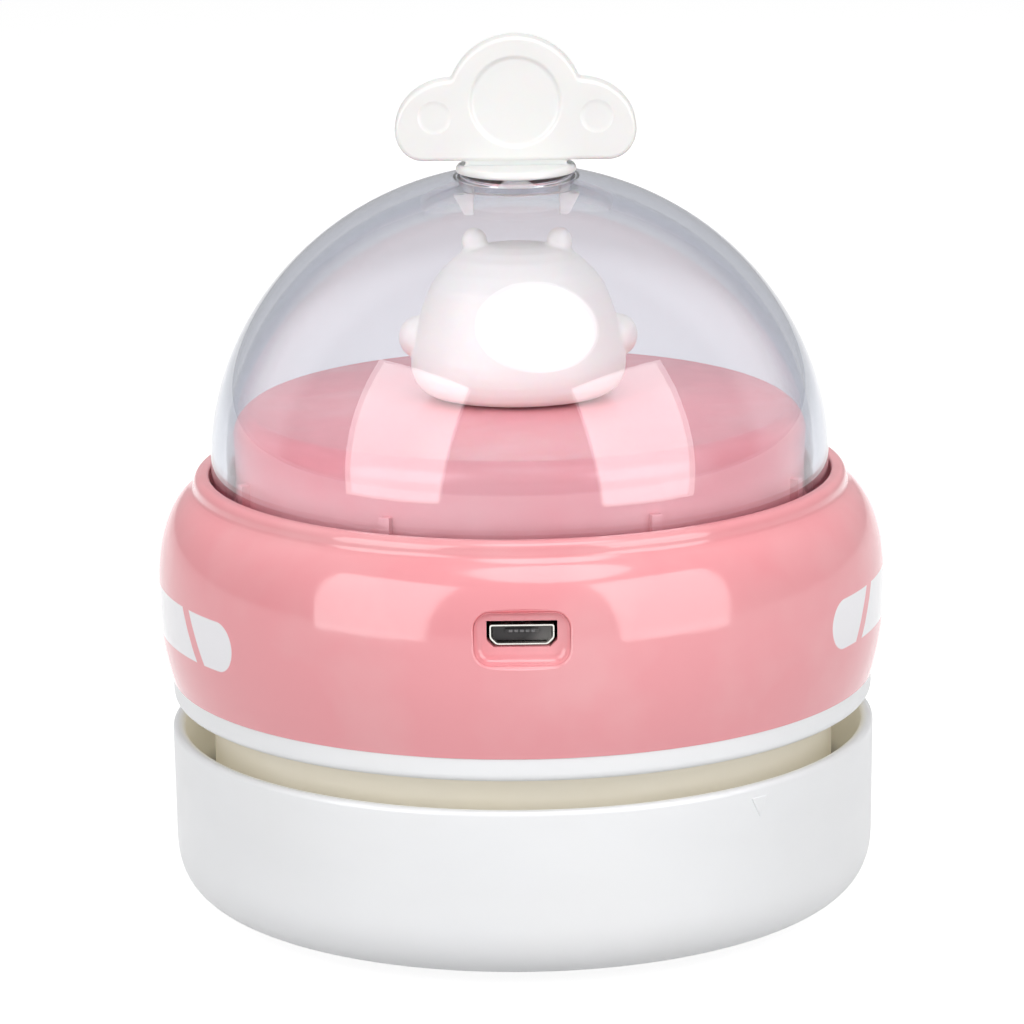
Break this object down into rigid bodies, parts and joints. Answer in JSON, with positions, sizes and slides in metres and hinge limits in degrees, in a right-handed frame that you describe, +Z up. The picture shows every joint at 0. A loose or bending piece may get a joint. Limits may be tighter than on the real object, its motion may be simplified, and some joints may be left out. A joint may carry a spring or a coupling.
{
  "type": "desktop mini vacuum cleaner",
  "caption": "Round palm-size desk vacuum with a twist-off dust cup, a bulged ring with a charging port and a clear dome under a cloud-shaped knob.",
  "frame": {"origin": "on the desk, under the middle of the object, level with the underside of the feet", "axes": "+Z up along the common axis of cup, ring and dome; -Y towards the charging port; +Y towards the power button; +X to the right when facing the port"},
  "size_m": [0.0886, 0.0886, 0.1066],
  "materials": {
    "white_plastic": "smooth, softly glossy",
    "pink_plastic": "glossy",
    "cream_plastic": "satin",
    "clear_plastic": "clear, polished",
    "figure_plastic": "satin",
    "grey_rubber": "matte",
    "bristle_nylon": "fine strands",
    "filter_foam": "open felt",
    "steel": "bright plated",
    "motor_metal": "plated can",
    "brass": "bright",
    "black_plastic": "satin",
    "board_green": "coated board",
    "cell_sleeve": "plastic sleeve over a metal can",
    "red_lead": "flexible insulation",
    "black_lead": "flexible insulation"
  },
  "bodies": {
    "dust_cup": {"dust_cup": "white_plastic", "inlet_plate": "white_plastic", "brush_arc_1": "bristle_nylon", "brush_arc_2": "bristle_nylon", "brush_arc_3": "bristle_nylon", "brush_arc_4": "bristle_nylon", "foot_pad_1": "grey_rubber", "foot_pad_2": "grey_rubber", "foot_pad_3": "grey_rubber", "foot_pad_4": "grey_rubber", "plate_screw_1": "steel", "plate_screw_2": "steel", "plate_screw_3": "steel"},
    "filter_basket": {"filter_frame": "white_plastic", "filter_pad": "filter_foam"},
    "seal": {"seal_ring": "grey_rubber"},
    "head": {"fan_housing": "cream_plastic", "orifice_plate": "cream_plastic", "chassis": "white_plastic", "upper_shell": "pink_plastic", "top_deck": "pink_plastic", "dome": "clear_plastic", "cloud_finial": "white_plastic", "figure": "figure_plastic", "figure_screw": "steel", "housing_screw_1": "steel", "housing_screw_2": "steel", "housing_screw_3": "steel", "housing_screw_4": "steel", "motor_can": "motor_metal", "motor_end_cap": "black_plastic", "motor_terminal_1": "brass", "motor_terminal_2": "brass", "motor_screw_1": "steel", "motor_screw_2": "steel", "battery_cell": "cell_sleeve", "battery_tab_1": "steel", "battery_tab_2": "steel", "battery_strap": "black_plastic", "charge_board": "board_green", "board_screw_1": "steel", "board_screw_2": "steel", "usb_shell": "steel", "usb_tongue": "black_plastic", "switch_board": "board_green", "switch_body": "black_plastic", "motor_lead_red": "red_lead", "motor_lead_black": "black_lead", "switch_lead_1": "red_lead", "switch_lead_2": "black_lead", "battery_lead_black": "black_lead", "battery_lead_red": "red_lead"},
    "rotor": {"impeller": "white_plastic", "motor_shaft": "steel"},
    "button": {"power_button": "white_plastic", "switch_stem": "black_plastic"}
  },
  "joints": [
    {"name": "filter_lift", "type": "slide", "parent": "dust_cup", "child": "filter_basket", "axis": [0, 0, 1], "range_m": [0, 0.03]},
    {"name": "head_lift", "type": "slide", "parent": "filter_basket", "child": "seal", "axis": [0, 0, 1], "range_m": [0, 0.04]},
    {"name": "head_twist", "type": "hinge", "parent": "seal", "child": "head", "pos_m": [0, 0, 0.013], "axis": [0, 0, 1], "range_deg": [0, 18]},
    {"name": "impeller_spin", "type": "hinge", "parent": "head", "child": "rotor", "pos_m": [0, 0, 0.0225], "axis": [0, 0, 1], "continuous": true},
    {"name": "power_button_press", "type": "slide", "parent": "head", "child": "button", "axis": [0, -1, 0], "range_m": [0, 0.0012], "stiffness_N_per_m": 800}
  ]
}
